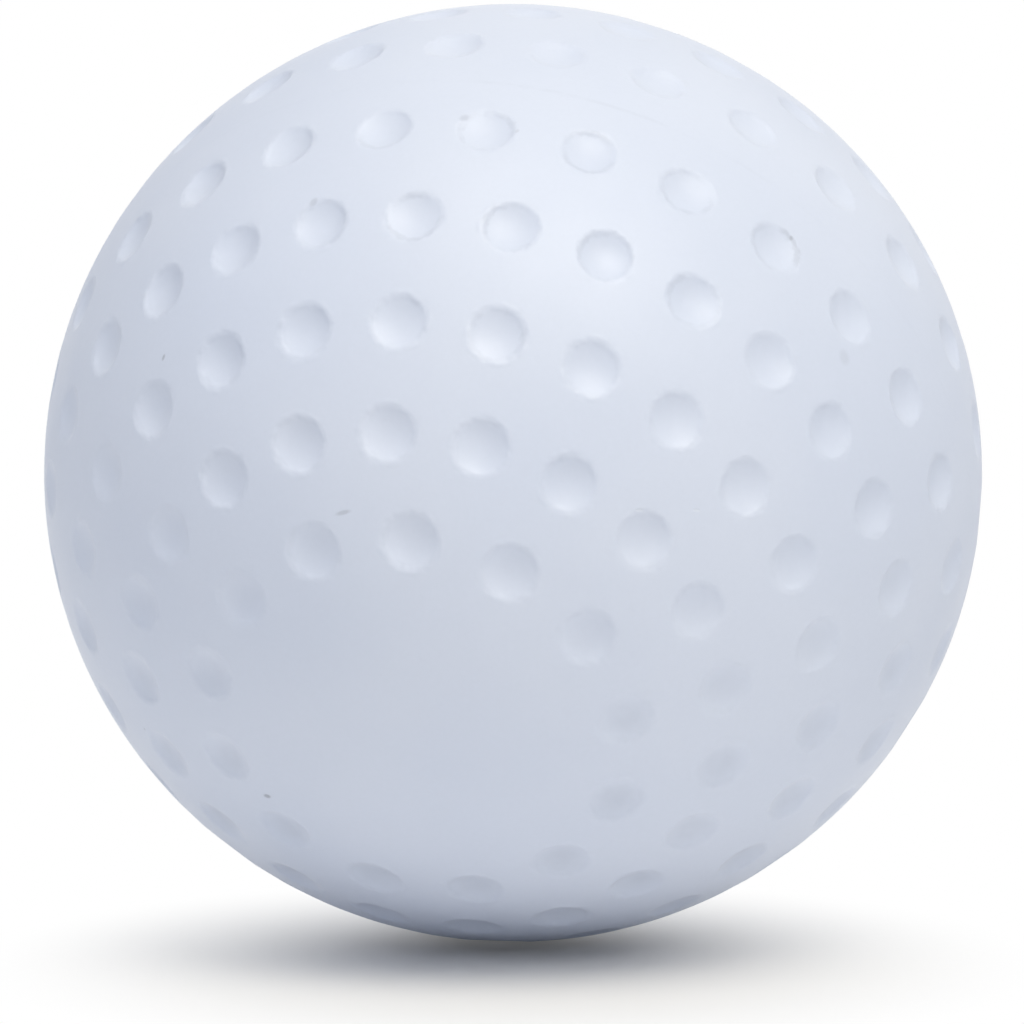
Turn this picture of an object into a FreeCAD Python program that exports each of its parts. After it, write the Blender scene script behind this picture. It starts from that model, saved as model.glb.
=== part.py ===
import FreeCAD, Part
import math
import os

# A field hockey ball: one solid moulded ball with rows of round dimples.
# The origin is the ball's middle, +Z is up as the ball lies, and -Y faces the viewer.
# Lengths are in millimetres and angles in degrees.

# The ball
ball_diameter = 73.0

# One dimple, a shallow round bowl. Its depth is taken from the plane of its rim
dimple_diameter = 4.4
dimple_depth = 0.52

# The mould axis runs through the two bare poles.
# Its near pole points to the front, turned a little to the left and dipped below level
pole_turn_left = 14.6
pole_dip = 28.1

# Rows of dimples on one half of the ball, from the parting line to the bare pole.
# A latitude is the angle from the parting line to the middle of the row's dimples,
# and a turn is the place of the row's first dimple about the mould axis
belt_row_latitude = 9.0
belt_row_count = 28
belt_row_turn = 7.1

lower_row_latitude = 23.0
lower_row_count = 28
lower_row_turn = 0.6

middle_row_latitude = 37.0
middle_row_count = 24
middle_row_turn = 0.6

upper_row_latitude = 50.6
upper_row_count = 20
upper_row_turn = 1.2

crown_row_latitude = 63.3
crown_row_count = 13
crown_row_turn = -5.2

# The far half has the same rows, turned about the mould axis against the near half
far_half_turn = -4.7


def on_mould(latitude, turn):
    """A unit vector from the ball's middle, in the mould's own axes, with Z along the mould axis."""
    up = math.radians(latitude)
    around = math.radians(turn)
    return FreeCAD.Vector(
        math.cos(up) * math.cos(around),
        math.cos(up) * math.sin(around),
        math.sin(up),
    )


def dimple_cutter(place):
    """The ball that presses one dimple: it meets the surface in the rim and bottoms out at the depth."""
    rim_radius = dimple_diameter / 2
    rim_plane = math.sqrt((ball_diameter / 2) ** 2 - rim_radius**2)
    cutter_radius = (rim_radius**2 + dimple_depth**2) / (2 * dimple_depth)
    cutter = Part.makeSphere(cutter_radius)
    # the cutter's own seam faces outwards, clear of the bowl
    facing = FreeCAD.Rotation(FreeCAD.Vector(1, 0, 0), place)
    cutter.Placement = FreeCAD.Placement(place * (rim_plane - dimple_depth + cutter_radius), facing)
    return cutter


def dimple_row(latitude, count, turn):
    """The cutters of one row, evenly spaced about the mould axis."""
    step = 360.0 / count
    return [dimple_cutter(on_mould(latitude, turn + dimple * step)) for dimple in range(count)]


def mould_lie():
    """The turn that lays the mould axis as the ball rests, its first meridian uppermost."""
    across = math.radians(pole_turn_left)
    dip = math.radians(pole_dip)
    pole = FreeCAD.Vector(
        -math.cos(dip) * math.sin(across),
        -math.cos(dip) * math.cos(across),
        -math.sin(dip),
    )
    sideways = FreeCAD.Vector(0, 0, 1).cross(pole)
    return FreeCAD.Rotation(pole.cross(sideways), sideways * -1, pole, "ZXY")


def plain_ball():
    """The sphere before its dimples. Its own seam and poles lie on the parting line, clear of every row."""
    sphere = Part.makeSphere(ball_diameter / 2)
    own_x_on_mould = FreeCAD.Vector(0, 1, 0)
    own_y_on_mould = FreeCAD.Vector(0, 0, 1)
    own_z_on_mould = FreeCAD.Vector(1, 0, 0)
    lie = FreeCAD.Rotation(own_x_on_mould, own_y_on_mould, own_z_on_mould, "ZXY")
    sphere.Placement = FreeCAD.Placement(FreeCAD.Vector(0, 0, 0), lie)
    return sphere


def make_ball():
    """The whole ball: a plain sphere with its rows of dimples pressed in, turned to its lie."""
    rows = [
        (belt_row_latitude, belt_row_count, belt_row_turn),
        (lower_row_latitude, lower_row_count, lower_row_turn),
        (middle_row_latitude, middle_row_count, middle_row_turn),
        (upper_row_latitude, upper_row_count, upper_row_turn),
        (crown_row_latitude, crown_row_count, crown_row_turn),
    ]
    halves = [(1, 0.0), (-1, far_half_turn)]
    ball = plain_ball()
    for side, half_turn in halves:
        for latitude, count, turn in rows:
            ball = ball.cut(dimple_row(side * latitude, count, turn + half_turn))
    ball.Placement = FreeCAD.Placement(FreeCAD.Vector(0, 0, 0), mould_lie())
    return ball


os.makedirs("parts", exist_ok=True)
make_ball().exportStep("parts/ball.step")
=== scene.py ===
import math

import bpy
import numpy as np
from mathutils import Matrix, Vector
from mathutils.geometry import delaunay_2d_cdt


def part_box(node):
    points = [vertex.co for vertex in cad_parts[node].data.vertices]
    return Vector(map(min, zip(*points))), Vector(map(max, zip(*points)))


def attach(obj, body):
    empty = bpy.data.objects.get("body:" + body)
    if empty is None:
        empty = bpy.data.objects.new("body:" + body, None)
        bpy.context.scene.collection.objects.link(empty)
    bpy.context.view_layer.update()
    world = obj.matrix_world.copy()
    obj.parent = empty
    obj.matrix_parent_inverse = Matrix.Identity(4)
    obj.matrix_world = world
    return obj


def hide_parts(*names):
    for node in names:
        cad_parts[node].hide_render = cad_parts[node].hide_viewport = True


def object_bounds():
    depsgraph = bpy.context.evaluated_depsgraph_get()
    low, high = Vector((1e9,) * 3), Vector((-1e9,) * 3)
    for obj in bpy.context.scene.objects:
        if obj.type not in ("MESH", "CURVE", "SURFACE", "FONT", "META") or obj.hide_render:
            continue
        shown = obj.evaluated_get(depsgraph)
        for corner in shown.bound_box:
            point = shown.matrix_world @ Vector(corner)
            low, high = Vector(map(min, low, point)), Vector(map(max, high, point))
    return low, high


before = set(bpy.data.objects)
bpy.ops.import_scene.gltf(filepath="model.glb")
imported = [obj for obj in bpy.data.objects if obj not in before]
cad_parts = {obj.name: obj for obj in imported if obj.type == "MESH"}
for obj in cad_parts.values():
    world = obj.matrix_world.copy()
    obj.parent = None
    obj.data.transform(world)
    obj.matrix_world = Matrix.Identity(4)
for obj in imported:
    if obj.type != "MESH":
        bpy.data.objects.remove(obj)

# A field hockey ball. Lengths are in millimetres and angles in degrees, unless a name says otherwise.
# Blender's own objects are in metres
cad_low, cad_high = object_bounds()
node_low, node_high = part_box("ball")
mm = 0.001

# The ball, from the frame
ball_radius = max(node_high[axis] - node_low[axis] for axis in range(3)) / 2 / mm
ball_middle = (Vector(node_low) + Vector(node_high)) / 2

# One dimple, with its depth from the plane of its rim
dimple_diameter = 4.4
dimple_depth = 0.52
rim_rounding = 1.20

# How the mould axis lies
pole_turn_left = 14.6
pole_dip = 28.1

# Rows of dimples on one half: latitude from the parting line, count, and turn about the mould axis
dimple_rows = {
    "belt": (9.0, 28, 7.1),
    "lower": (23.0, 28, 0.6),
    "middle": (37.0, 24, 0.6),
    "upper": (50.6, 20, 1.2),
    "crown": (63.3, 13, -5.2),
}
far_half_turn = -4.7

# The surface mesh: rings of points in each dimple, and a ring just outside its rounding
bowl_rings = 5
rounding_rings = 4
points_round_rim = 40
fewest_points_in_ring = 8
collar_width = 0.35

# Between the dimples: how far apart the points lie, and how far they keep off the collars and the seam
land_spacing = 0.95
seam_spacing = 0.7 * land_spacing
land_to_collar = 0.35 * land_spacing
land_to_seam = 0.5 * land_spacing

# Tones of the plastic, of the painted shade in its dimples and of its parting line, and of its marks and
# painted glints
plastic_white = (0.770, 0.812, 0.925, 1.0)
plastic_cool = (0.735, 0.782, 0.905, 1.0)
plastic_grain = (0.60, 0.64, 0.72, 1.0)
# the tone of the painted shade in the dimples and of the parting line
shade_and_seam_tone = (0.36, 0.39, 0.46, 1.0)
dark_mark = (0.20, 0.21, 0.24, 1.0)
# the tone of the painted glints
glint_tone = (0.90, 0.94, 1.0, 1.0)

# Small marks on the surface: how far right of the front and how far up they lie, their length, width
# and tilt, how much darker they are (below zero, how much lighter, as a painted glint), and how deep
marks = {
    "speck_left": (-50.3, 18.4, 0.65, 0.35, 80, 0.24, 0.0),
    "speck_low": (-40.6, -37.6, 0.85, 0.50, 5, 0.32, 0.03),
    "speck_edge": (-63.8, -29.9, 0.35, 0.30, 0, 0.14, 0.0),
    "speck_right": (44.8, 34.4, 0.55, 0.40, 60, 0.20, 0.0),
    "speck_top": (0.8, 52.3, 0.50, 0.35, 60, 0.09, 0.0),
    "scuff_front": (-20.6, 1.7, 1.45, 0.42, 15, 0.16, 0.0),
    "blotch_right": (46.8, 18.7, 1.30, 1.50, 0, 0.06, 0.0),
    "nick_top": (-10.2, 54.6, 1.00, 0.75, 35, 0.10, 0.03),
    "nub_left": (-33.0, 40.2, 0.70, 0.95, -20, 0.14, 0.0),
    # these two nicks carry painted glints, lighter lines along them
    "nick_front": (15.1, 2.2, 0.70, 0.26, 0, -0.20, 0.03),
    "nick_front_right": (22.3, 1.9, 0.70, 0.30, -5, -0.18, 0.03),
}

# The contrast that all marks share, and the shares of their half-size between which they fade out
mark_contrast = 1.6
mark_heart = 0.35
mark_edge = 1.15

# The part of the surface, about the top front, where the painted shade in the rims of the dimples is
# strongest and the parting line darkest, and one darker stretch of that painted rim shade
shade_and_seam_patch = (5.0, 42.0, 34.0, 26.0, 0.0)
dark_rim = (45.4, 33.1, 3.2, 4.8, 0.0)
dark_rim_strength = 0.30

# The ragged band of painted shade inside a rim: how far inwards it strays, and how far from the band's own
# middle its edge and its heart lie
rim_shade_strays = 0.36
rim_shade_band_edge = 0.36
rim_shade_band_heart = 0.06

# Painted shade in the low bowls: the heights where it starts, is full, and thins out, its strength,
# and how far outside the rim its edge and its heart lie
bowl_shade_starts = -4.0
bowl_shade_full = -24.0
bowl_shade_thins_from = -28.0
bowl_shade_thins_to = -35.0
bowl_shade_strength = 0.17
bowl_shade_edge = 0.1
bowl_shade_heart = -1.6

# The parting line's hairline: how far it strays from the true line, and how far from its own middle
# its edge and its heart lie
hairline_strays = 0.15
hairline_edge = 0.34
hairline_heart = 0.04

# The skin: its roughness, how high its waves, its orange peel and the ripples at the rims stand,
# and how far from a rim the ripples reach
satin_low = 0.39
satin_high = 0.49
satin_grain = 0.03
nick_dullness = 5.0
wave_height = 0.030
peel_height = 0.0022
ripple_height = 0.08
ripple_reach = 0.60

# The camera: its height above level, its distance in ball radii, and how the ball lies in the picture
camera_height = 7.0
camera_distance_radii = 30.0
photo_size = 1024.0
ball_radius_pixels = 469.0
ball_middle_pixels = (513.1, 473.0)
sensor_width = 36.0

# The part of the floor where the shadow shows: how far it lies before the ball's foot, its reach,
# the share of its reach that is full shadow, and how much white lies over that
shadow_forward = 14.4
shadow_half_width = 42.3
shadow_half_depth = 45.4
shadow_full_share = 0.144
shadow_haze = 0.043
floor_half_width_metres = 3.0
floor_tone = (0.96, 0.96, 0.96, 1.0)
floor_shadow_tone = (0.83, 0.805, 0.77, 1.0)

# The colours of the lamps and of the light all round
warm_white = (1.0, 0.965, 0.87)
cool_white = (0.90, 0.93, 1.0)
sky_tone = (0.74, 0.84, 1.0, 1.0)
sky_strength = 0.265
pure_white = (1.0, 1.0, 1.0, 1.0)


def to_radians(*angles):
    return [math.radians(angle) for angle in angles]


def facing(right, up):
    """The direction that lies so far right of the front and so far up."""
    turn, rise = to_radians(right, up)
    return Vector((math.sin(turn) * math.cos(rise), -math.cos(turn) * math.cos(rise), math.sin(rise)))


def mould_axes():
    """The mould's own X, Y and Z in the ball's frame, as the columns of a matrix."""
    across, dip = to_radians(pole_turn_left, pole_dip)
    pole = np.array([-math.cos(dip) * math.sin(across), -math.cos(dip) * math.cos(across), -math.sin(dip)])
    sideways = np.cross([0.0, 0.0, 1.0], pole)
    sideways /= np.linalg.norm(sideways)
    return np.stack([np.cross(pole, sideways), -sideways, pole], axis=1)


def on_mould(latitude, turn):
    """Unit vectors from the ball's middle, in the mould's own axes."""
    up = np.radians(latitude)
    around = np.radians(turn)
    along_pole = np.sin(up) * np.ones_like(around)
    return np.stack([np.cos(up) * np.cos(around), np.cos(up) * np.sin(around), along_pole], axis=-1)


def dimple_places():
    """The middle of every dimple, as unit vectors in the mould's own axes."""
    places = []
    for side, half_turn in ((1, 0.0), (-1, far_half_turn)):
        for latitude, count, turn in dimple_rows.values():
            turns = turn + half_turn + np.arange(count) * 360.0 / count
            places.append(on_mould(side * latitude, turns))
    return np.concatenate(places)


def dimple_profile():
    """The dimple's section as rings: distance from its axis, height above the ball's middle, the surface's
    normal in the same two directions, and how many points the ring has."""
    rim_radius = dimple_diameter / 2
    rim_plane = math.sqrt(ball_radius**2 - rim_radius**2)
    bowl_radius = (rim_radius**2 + dimple_depth**2) / (2 * dimple_depth)
    bowl_middle = rim_plane - dimple_depth + bowl_radius
    # the rounding's middle lies inside the ball by its own radius and outside the bowl by the same
    inner = ball_radius - rim_rounding
    outer = bowl_radius + rim_rounding
    height = (inner**2 - outer**2 + bowl_middle**2) / (2 * bowl_middle)
    across = math.sqrt(inner**2 - height**2)
    rings = [(0.0, bowl_middle - bowl_radius, 0.0, 1.0, 1)]
    bowl_edge = math.atan2(across, bowl_middle - height)
    for ring in range(1, bowl_rings + 1):
        angle = bowl_edge * ring / bowl_rings
        count = max(fewest_points_in_ring, round(points_round_rim * ring / bowl_rings))
        place = (bowl_radius * math.sin(angle), bowl_middle - bowl_radius * math.cos(angle))
        rings.append((*place, -math.sin(angle), math.cos(angle), count))
    rim_edge = math.atan2(across, height)
    for ring in range(1, rounding_rings + 1):
        angle = -bowl_edge + (rim_edge + bowl_edge) * ring / rounding_rings
        place = (across + rim_rounding * math.sin(angle), height + rim_rounding * math.cos(angle))
        rings.append((*place, math.sin(angle), math.cos(angle), points_round_rim))
    collar = rim_edge + collar_width / ball_radius
    place = (ball_radius * math.sin(collar), ball_radius * math.cos(collar))
    rings.append((*place, math.sin(collar), math.cos(collar), points_round_rim))
    return rings


def dimple_points(places):
    """Points and normals for every dimple, and how far outside its rim each point is."""
    spots, normals, rims = [], [], []
    # any direction will do to start from that isn't along the dimple's own axis
    near_mould_axis = np.abs(places[:, 2:]) >= 0.9
    helper = np.where(near_mould_axis, [[1.0, 0.0, 0.0]], [[0.0, 0.0, 1.0]])
    first = np.cross(helper, places)
    first /= np.linalg.norm(first, axis=1, keepdims=True)
    second = np.cross(places, first)
    for number, (radius, height, slope_out, slope_up, count) in enumerate(dimple_profile()):
        # every other ring is turned by half a step, so that its points face the gaps of the last
        around = (np.arange(count) + 0.5 * (number % 2)) * 2 * math.pi / count
        along_first = np.cos(around)[None, :, None] * first[:, None]
        along_second = np.sin(around)[None, :, None] * second[:, None]
        outward = along_first + along_second
        spots.append((radius * outward + height * places[:, None]).reshape(-1, 3))
        normals.append((slope_out * outward + slope_up * places[:, None]).reshape(-1, 3))
        rims.append(np.full(len(spots[-1]), radius - dimple_diameter / 2))
    return np.concatenate(spots), np.concatenate(normals), np.concatenate(rims)


def land_points(places):
    """Points between the dimples, evenly spread along a spiral from pole to pole."""
    area = 4 * math.pi * ball_radius**2
    area_each = land_spacing**2 * math.sin(math.radians(60))
    count = int(area / area_each)
    step = np.arange(count) + 0.5
    golden_angle = 180.0 * (3.0 - math.sqrt(5.0))
    height = 1 - 2 * step / count
    spiral = on_mould(np.degrees(np.arcsin(height)), golden_angle * step)
    keep_off = (dimple_diameter / 2 + rim_rounding + collar_width + land_to_collar) / ball_radius
    # the distances are found in blocks, to spare memory
    blocks = 40
    nearest = np.concatenate([(block @ places.T).max(axis=1) for block in np.array_split(spiral, blocks)])
    clear_of_seam = np.abs(height) > land_to_seam / ball_radius
    return spiral[(nearest < math.cos(keep_off)) & clear_of_seam] * ball_radius


def parting_points():
    """A ring of points along the parting line, which both halves share."""
    count = int(2 * math.pi * ball_radius / seam_spacing)
    return on_mould(0.0, np.arange(count) * 360.0 / count) * ball_radius


def join_half(spots, members, side):
    """Triangles between the points of one half. Seen from the far pole, the half fills a disc,
    where the flat rule for joining neighbours is also the round one."""
    all_triangles = 0
    smallest_gap = 1e-9
    unit = spots[members] / np.linalg.norm(spots[members], axis=1, keepdims=True)
    flat = unit[:, :2] / (1 + side * unit[:, 2:])
    found = delaunay_2d_cdt([Vector(place) for place in flat], [], [], all_triangles, smallest_gap, True)
    if len(found[0]) != len(members):
        raise RuntimeError("two points of the surface fell together")
    origin = np.array([source[0] for source in found[3]])
    triangles = members[origin[np.array(found[2])]]
    return triangles if side > 0 else triangles[:, ::-1]


def ball_surface():
    """The whole surface as one closed mesh in millimetres, in the mould's own axes."""
    places = dimple_places()
    dimples, dimple_normals, rims = dimple_points(places)
    land = land_points(places)
    seam = parting_points()
    spots = np.concatenate([dimples, land, seam])
    normals = np.concatenate([dimple_normals, land / ball_radius, seam / ball_radius])
    rim = np.concatenate([rims, np.full(len(land) + len(seam), rims.max())])
    on_seam = np.arange(len(spots)) >= len(dimples) + len(land)
    faces = []
    for side in (1, -1):
        members = np.flatnonzero(on_seam | (spots[:, 2] * side > 0))
        faces.append(join_half(spots, members, side))
    return spots, normals, rim, np.concatenate(faces)


def make_ball():
    """The moulded ball as one mesh, with true normals and each point's distance outside a dimple's rim."""
    spots, normals, rim, faces = ball_surface()
    axes = mould_axes()
    spots = spots @ axes.T * mm + np.array(ball_middle)
    normals = normals @ axes.T
    mesh = bpy.data.meshes.new("ball_surface")
    mesh.from_pydata(spots.tolist(), [], faces.tolist())
    mesh.shade_smooth()
    mesh.normals_split_custom_set_from_vertices(normals.tolist())
    outside_rim = mesh.attributes.new("outside_rim", "FLOAT", "POINT")
    outside_rim.data.foreach_set("value", rim.astype(np.float32))
    ball = bpy.data.objects.new("ball_surface", mesh)
    bpy.context.scene.collection.objects.link(ball)
    return ball


class Shader:
    """A material's nodes, added and joined by short calls."""

    def __init__(self, name):
        self.material = bpy.data.materials.new(name)
        self.material.use_nodes = True
        self.tree = self.material.node_tree
        self.tree.nodes.clear()

    def add(self, kind, inputs=None, **settings):
        node = self.tree.nodes.new(kind)
        for key, value in settings.items():
            setattr(node, key, value)
        for key, value in (inputs or {}).items():
            if isinstance(value, bpy.types.NodeSocket):
                self.tree.links.new(value, node.inputs[key])
            else:
                node.inputs[key].default_value = value
        return node

    def maths(self, operation, *values, clamp=False):
        node = self.add("ShaderNodeMath", dict(enumerate(values)), operation=operation, use_clamp=clamp)
        return node.outputs[0]

    def total(self, first, *others):
        for other in others:
            first = self.maths("ADD", first, other)
        return first

    def product(self, first, *others):
        for other in others:
            first = self.maths("MULTIPLY", first, other)
        return first

    def vector(self, operation, output, *values, **inputs):
        node = self.add("ShaderNodeVectorMath", {**dict(enumerate(values)), **inputs}, operation=operation)
        return node.outputs[output]

    def ramp(self, value, start, end, at_start=0.0, at_end=1.0, smooth=False):
        """While the value goes from start to end, the result goes from at_start to at_end."""
        inputs = {"Value": value, "From Min": start, "From Max": end, "To Min": at_start, "To Max": at_end}
        kind = "SMOOTHSTEP" if smooth else "LINEAR"
        return self.add("ShaderNodeMapRange", inputs, interpolation_type=kind).outputs["Result"]

    def patchy(self, place, per_mm, detail, between, low, high, roughness=0.5):
        """Noise of so many patches a millimetre, made to run from low to high between two of its levels."""
        inputs = {"Vector": place, "Scale": per_mm, "Detail": detail, "Roughness": roughness}
        noise = self.add("ShaderNodeTexNoise", inputs).outputs["Fac"]
        return self.ramp(noise, *between, low, high)

    def mix(self, amount, first, second):
        node = self.add("ShaderNodeMix", {"Factor": amount}, data_type="RGBA", blend_type="MIX")
        # inputs 6 and 7 are the node's two colours, and output 2 is the mixed one
        for socket, value in zip((node.inputs[6], node.inputs[7]), (first, second)):
            if isinstance(value, bpy.types.NodeSocket):
                self.tree.links.new(value, socket)
            else:
                socket.default_value = value
        return node.outputs[2]

    def material_of(self, surface):
        output = self.add("ShaderNodeOutputMaterial")
        self.tree.links.new(surface.outputs[0], output.inputs["Surface"])
        return self.material


def mark_distance(shader, place, mark):
    """How far from the middle of a mark a place on the surface is, where 1 is the mark's edge."""
    right, up, length, width, tilt = mark[:5]
    slant = math.radians(tilt)
    outward = facing(right, up)
    east = Vector((0, 0, 1)).cross(outward).normalized()
    north = outward.cross(east)
    along = east * math.cos(slant) + north * math.sin(slant)
    lie = Matrix((along, outward.cross(along), outward)).transposed().to_euler()
    inputs = {
        "Vector": place,
        "Location": outward * ball_radius,
        "Rotation": lie,
        "Scale": (length / 2, width / 2, length / 2),
    }
    own = shader.add("ShaderNodeMapping", inputs, vector_type="TEXTURE").outputs["Vector"]
    return shader.vector("LENGTH", "Value", own)


def pigment(shader, place):
    """The plastic's own colour: slow clouds of tint, and a fine grain."""
    clouds = shader.patchy(place, per_mm=0.045, detail=2.0, between=(0.35, 0.65), low=0.0, high=1.0)
    grain = shader.patchy(
        place, per_mm=2.4, detail=2.0, between=(0.3, 0.7), low=0.0, high=0.05, roughness=0.6
    )
    return shader.mix(grain, shader.mix(clouds, plastic_white, plastic_cool), plastic_grain)


def rim_painted_shade(shader, place, outside_rim, shade_and_seam_weight):
    """How strong the painted shade is: a soft ragged band just inside the rims of the dimples, in arcs."""
    ragged = shader.patchy(place, per_mm=1.6, detail=3.0, between=(0.2, 0.8), low=0.0, high=rim_shade_strays)
    off_band = shader.maths("ABSOLUTE", shader.total(outside_rim, ragged))
    band = shader.ramp(off_band, rim_shade_band_edge, rim_shade_band_heart, smooth=True)
    arcs = shader.patchy(
        place, per_mm=0.35, detail=3.0, between=(0.42, 0.62), low=0.01, high=0.17, roughness=0.65
    )
    off_dark_rim = mark_distance(shader, place, dark_rim)
    darker = shader.ramp(off_dark_rim, start=1.2, end=0.6, at_end=dark_rim_strength, smooth=True)
    return shader.product(band, shader.maths("MAXIMUM", shader.product(arcs, shade_and_seam_weight), darker))


def bowl_painted_shade(shader, place, outside_rim):
    """How strong the painted shade is: soft uneven dark spots in the bowls of the lower half."""
    height_up = shader.add("ShaderNodeSeparateXYZ", {0: place}).outputs["Z"]
    low_down = shader.ramp(height_up, bowl_shade_starts, bowl_shade_full, at_end=bowl_shade_strength)
    deep_in = shader.ramp(outside_rim, bowl_shade_edge, bowl_shade_heart, smooth=True)
    above_bottom = shader.ramp(height_up, bowl_shade_thins_to, bowl_shade_thins_from, at_start=0.2)
    uneven = shader.patchy(place, per_mm=0.6, detail=1.0, between=(0.3, 0.7), low=0.6, high=1.1)
    return shader.product(low_down, deep_in, above_bottom, uneven)


def parting_line(shader, place, shade_and_seam_weight):
    """How dark the parting line is: a faint broken hairline across the mould axis."""
    pole = mould_axes()[:, 2]
    off_seam = shader.vector("DOT_PRODUCT", "Value", place, tuple(pole))
    wander = shader.patchy(
        place, per_mm=0.25, detail=2.0, between=(0.0, 1.0), low=-hairline_strays, high=hairline_strays
    )
    off_hairline = shader.maths("ABSOLUTE", shader.total(off_seam, wander))
    hairline = shader.ramp(off_hairline, hairline_edge, hairline_heart, smooth=True)
    broken = shader.patchy(place, per_mm=0.4, detail=2.0, between=(0.40, 0.58), low=0.01, high=0.08)
    return shader.product(hairline, broken, shade_and_seam_weight)


def add_marks(shader, place, colour):
    """The colour with specks, scuffs and nicks on it, with painted glints along two nicks, and how deep the
    nicks are.
    """
    nicks = []
    for mark in marks.values():
        strength, depth = mark[5:]
        off_mark = mark_distance(shader, place, mark)
        mask = shader.ramp(off_mark, mark_edge, mark_heart, smooth=True)
        # a mark below zero is a painted glint, lighter than the plastic
        tone = dark_mark if strength > 0 else glint_tone
        colour = shader.mix(shader.product(mask, abs(strength) * mark_contrast), colour, tone)
        if depth > 0:
            nicks.append(shader.product(mask, depth))
    return colour, shader.total(*nicks)


def gloss(shader, place, nicks):
    """A satin roughness that varies a little, and is duller where the surface is nicked."""
    satin = shader.patchy(
        place, per_mm=0.12, detail=2.0, between=(0.3, 0.7), low=satin_low, high=satin_high, roughness=0.6
    )
    fine = shader.patchy(
        place, per_mm=3.5, detail=1.0, between=(0.3, 0.7), low=-satin_grain, high=satin_grain
    )
    return shader.maths("ADD", shader.total(satin, fine), shader.product(nicks, nick_dullness), clamp=True)


def relief(shader, place, outside_rim, nicks):
    """The skin is never quite true: broad waves, a faint orange peel, uneven rims, and the nicks."""
    whole = (0.0, 1.0)
    waves = shader.patchy(place, per_mm=0.16, detail=1.0, between=whole, low=-wave_height, high=wave_height)
    peel = shader.patchy(place, per_mm=1.7, detail=1.0, between=whole, low=-peel_height, high=peel_height)
    ripple = shader.patchy(
        place, per_mm=0.85, detail=1.0, between=whole, low=-ripple_height, high=ripple_height
    )
    near_rim = shader.ramp(shader.maths("ABSOLUTE", outside_rim), ripple_reach, 0.0, smooth=True)
    skin = shader.total(waves, peel, shader.product(near_rim, ripple))
    return shader.maths("SUBTRACT", skin, nicks)


def hard_plastic():
    """Hard white moulded plastic with a faint blue cast, satin, with painted shade in the rims and low bowls
    of its dimples, a faint dark parting line, specks, scuffs, and painted glints along two nicks.
    """
    shader = Shader("ball_plastic")
    object_place = shader.add("ShaderNodeTexCoord").outputs["Object"]
    place = shader.vector("SCALE", "Vector", object_place, Scale=1 / mm)
    outside_rim = shader.add("ShaderNodeAttribute", attribute_name="outside_rim").outputs["Fac"]
    # the patch about the top front where the painted shade in the rims is strongest and the parting line
    # darkest
    off_patch = mark_distance(shader, place, shade_and_seam_patch)
    shade_and_seam_weight = shader.ramp(off_patch, start=0.7, end=1.3, at_start=1.0, at_end=0.2, smooth=True)

    colour = pigment(shader, place)
    # painted shade in the rims of the dimples
    colour = shader.mix(rim_painted_shade(shader, place, outside_rim, shade_and_seam_weight), colour, shade_and_seam_tone)
    # painted shade in the bowls of the lower half
    colour = shader.mix(bowl_painted_shade(shader, place, outside_rim), colour, shade_and_seam_tone)
    colour = shader.mix(parting_line(shader, place, shade_and_seam_weight), colour, shade_and_seam_tone)
    colour, nicks = add_marks(shader, place, colour)

    height = relief(shader, place, outside_rim, nicks)
    bump = shader.add("ShaderNodeBump", {"Height": height, "Strength": 1.0, "Distance": mm})
    surface = shader.add("ShaderNodeBsdfPrincipled", {
        "Base Color": colour,
        "Roughness": gloss(shader, place, nicks),
        "Normal": bump.outputs["Normal"],
        "IOR": 1.50,
    })
    return shader.material_of(surface)


def sees_backdrop(nodes, links):
    """1 for the rays that look at the backdrop: the camera's own, and those mirrored or let through."""
    path = nodes.new("ShaderNodeLightPath")
    value = path.outputs["Is Camera Ray"]
    for other in ("Is Glossy Ray", "Is Transmission Ray"):
        either = nodes.new("ShaderNodeMath")
        either.operation = "MAXIMUM"
        links.new(value, either.inputs[0])
        links.new(path.outputs[other], either.inputs[1])
        value = either.outputs[0]
    return value


def pale_floor():
    """A matt white floor. It keeps the ball's shadow, and away from it the camera sees plain white."""
    shader = Shader("pale_floor")
    seen = sees_backdrop(shader.tree.nodes, shader.tree.links)
    place = shader.add("ShaderNodeTexCoord").outputs["Object"]
    inputs = {
        "Vector": place,
        "Location": (0.0, -shadow_forward * mm, cad_low[2]),
        "Scale": (shadow_half_width * mm, shadow_half_depth * mm, 1.0),
    }
    own = shader.add("ShaderNodeMapping", inputs, vector_type="TEXTURE").outputs["Vector"]
    distance = shader.vector("LENGTH", "Value", own)
    away = shader.ramp(distance, start=shadow_full_share, end=1.0, at_start=shadow_haze, smooth=True)
    matt = shader.add("ShaderNodeBsdfDiffuse", {"Color": shader.mix(seen, floor_tone, floor_shadow_tone)})
    white = shader.add("ShaderNodeEmission", {"Color": pure_white, "Strength": 1.0})
    amount = shader.product(seen, away)
    mixed = shader.add("ShaderNodeMixShader", {0: amount, 1: matt.outputs[0], 2: white.outputs[0]})
    return shader.material_of(mixed)


def make_floor():
    """A wide flat floor under the ball's lowest point."""
    level = cad_low[2]
    reach = floor_half_width_metres
    corners = [(-reach, -reach, level), (reach, -reach, level), (reach, reach, level), (-reach, reach, level)]
    mesh = bpy.data.meshes.new("floor")
    mesh.from_pydata(corners, [], [(0, 1, 2, 3)])
    mesh.materials.append(pale_floor())
    floor = bpy.data.objects.new("floor", mesh)
    bpy.context.scene.collection.objects.link(floor)


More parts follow.
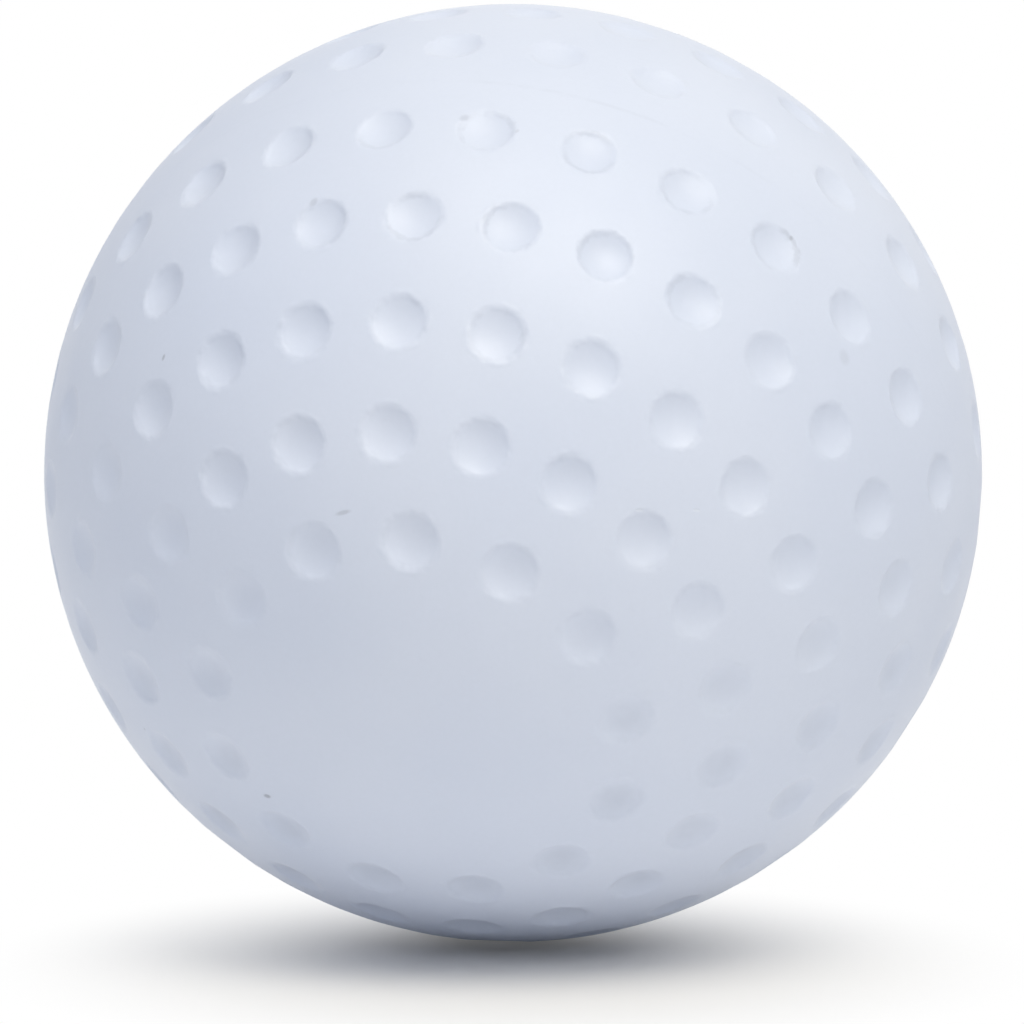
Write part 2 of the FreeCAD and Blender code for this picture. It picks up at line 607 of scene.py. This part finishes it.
def make_world():
    """Even, cool light from all round; the camera sees plain white."""
    world = bpy.data.worlds.new("studio")
    world.use_nodes = True
    nodes, links = world.node_tree.nodes, world.node_tree.links
    nodes.clear()
    light = nodes.new("ShaderNodeBackground")
    light.inputs["Color"].default_value = sky_tone
    light.inputs["Strength"].default_value = sky_strength
    white = nodes.new("ShaderNodeBackground")
    white.inputs["Color"].default_value = pure_white
    white.inputs["Strength"].default_value = 1.0
    mix = nodes.new("ShaderNodeMixShader")
    output = nodes.new("ShaderNodeOutputWorld")
    links.new(sees_backdrop(nodes, links), mix.inputs[0])
    links.new(light.outputs[0], mix.inputs[1])
    links.new(white.outputs[0], mix.inputs[2])
    links.new(mix.outputs[0], output.inputs["Surface"])
    bpy.context.scene.world = world


def make_lamp(name, height, right, distance, size, brightness, colour):
    """A soft square lamp aimed at the ball, with its distance and size in metres. A white wall facing it
    would read the brightness."""
    away = facing(right, height)
    lamp = bpy.data.lights.new(name, "AREA")
    lamp.shape = "SQUARE"
    lamp.size = size
    lamp.energy = brightness * math.pi**2 * distance**2
    lamp.color = colour
    holder = bpy.data.objects.new(name, lamp)
    holder.location = ball_middle + away * distance
    holder.rotation_mode = "QUATERNION"
    holder.rotation_quaternion = away.to_track_quat("Z", "Y")
    bpy.context.scene.collection.objects.link(holder)


def make_camera():
    """The camera of the photo: level with its angle, far away, with the ball filling the frame."""
    rise = math.radians(camera_height)
    back = Vector((0, -math.cos(rise), math.sin(rise)))
    upward = Vector((0, math.sin(rise), math.cos(rise)))
    distance = camera_distance_radii * ball_radius * mm
    limb = math.tan(math.asin(1 / camera_distance_radii))
    half_frame = limb * (photo_size / 2) / ball_radius_pixels
    # the ball's middle isn't quite in the frame's, so the camera aims a little beside it
    per_pixel = distance * half_frame / (photo_size / 2)
    right_of_aim = (ball_middle_pixels[0] - photo_size / 2) * per_pixel
    above_aim = (photo_size / 2 - ball_middle_pixels[1]) * per_pixel
    aim = ball_middle - Vector((1, 0, 0)) * right_of_aim - upward * above_aim
    camera = bpy.data.cameras.new("camera")
    camera.sensor_width = sensor_width
    camera.lens = sensor_width / 2 / half_frame
    # in metres, well before the ball and well past the floor
    camera.clip_start = 0.01
    camera.clip_end = 50.0
    holder = bpy.data.objects.new("camera", camera)
    holder.location = aim + back * distance
    holder.rotation_mode = "QUATERNION"
    holder.rotation_quaternion = back.to_track_quat("Z", "Y")
    bpy.context.scene.collection.objects.link(holder)
    bpy.context.scene.camera = holder


ball = make_ball()
ball.data.materials.append(hard_plastic())
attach(ball, "root")
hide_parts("ball")

make_floor()
make_world()
make_lamp("top_lamp", height=90, right=0, distance=0.6, size=0.5, brightness=0.074, colour=warm_white)
make_lamp("key_lamp", height=66, right=18, distance=0.9, size=0.55, brightness=0.42, colour=warm_white)
make_lamp("front_lamp", height=50, right=40, distance=0.9, size=0.6, brightness=0.275, colour=warm_white)
make_lamp("left_lamp", height=40, right=-85, distance=0.9, size=0.7, brightness=0.140, colour=cool_white)
make_lamp("right_lamp", height=35, right=125, distance=0.9, size=0.7, brightness=0.062, colour=cool_white)
make_lamp("low_lamp", height=8, right=0, distance=0.9, size=0.2, brightness=0.040, colour=cool_white)
make_camera()
bpy.context.scene.view_settings.view_transform = "Standard"
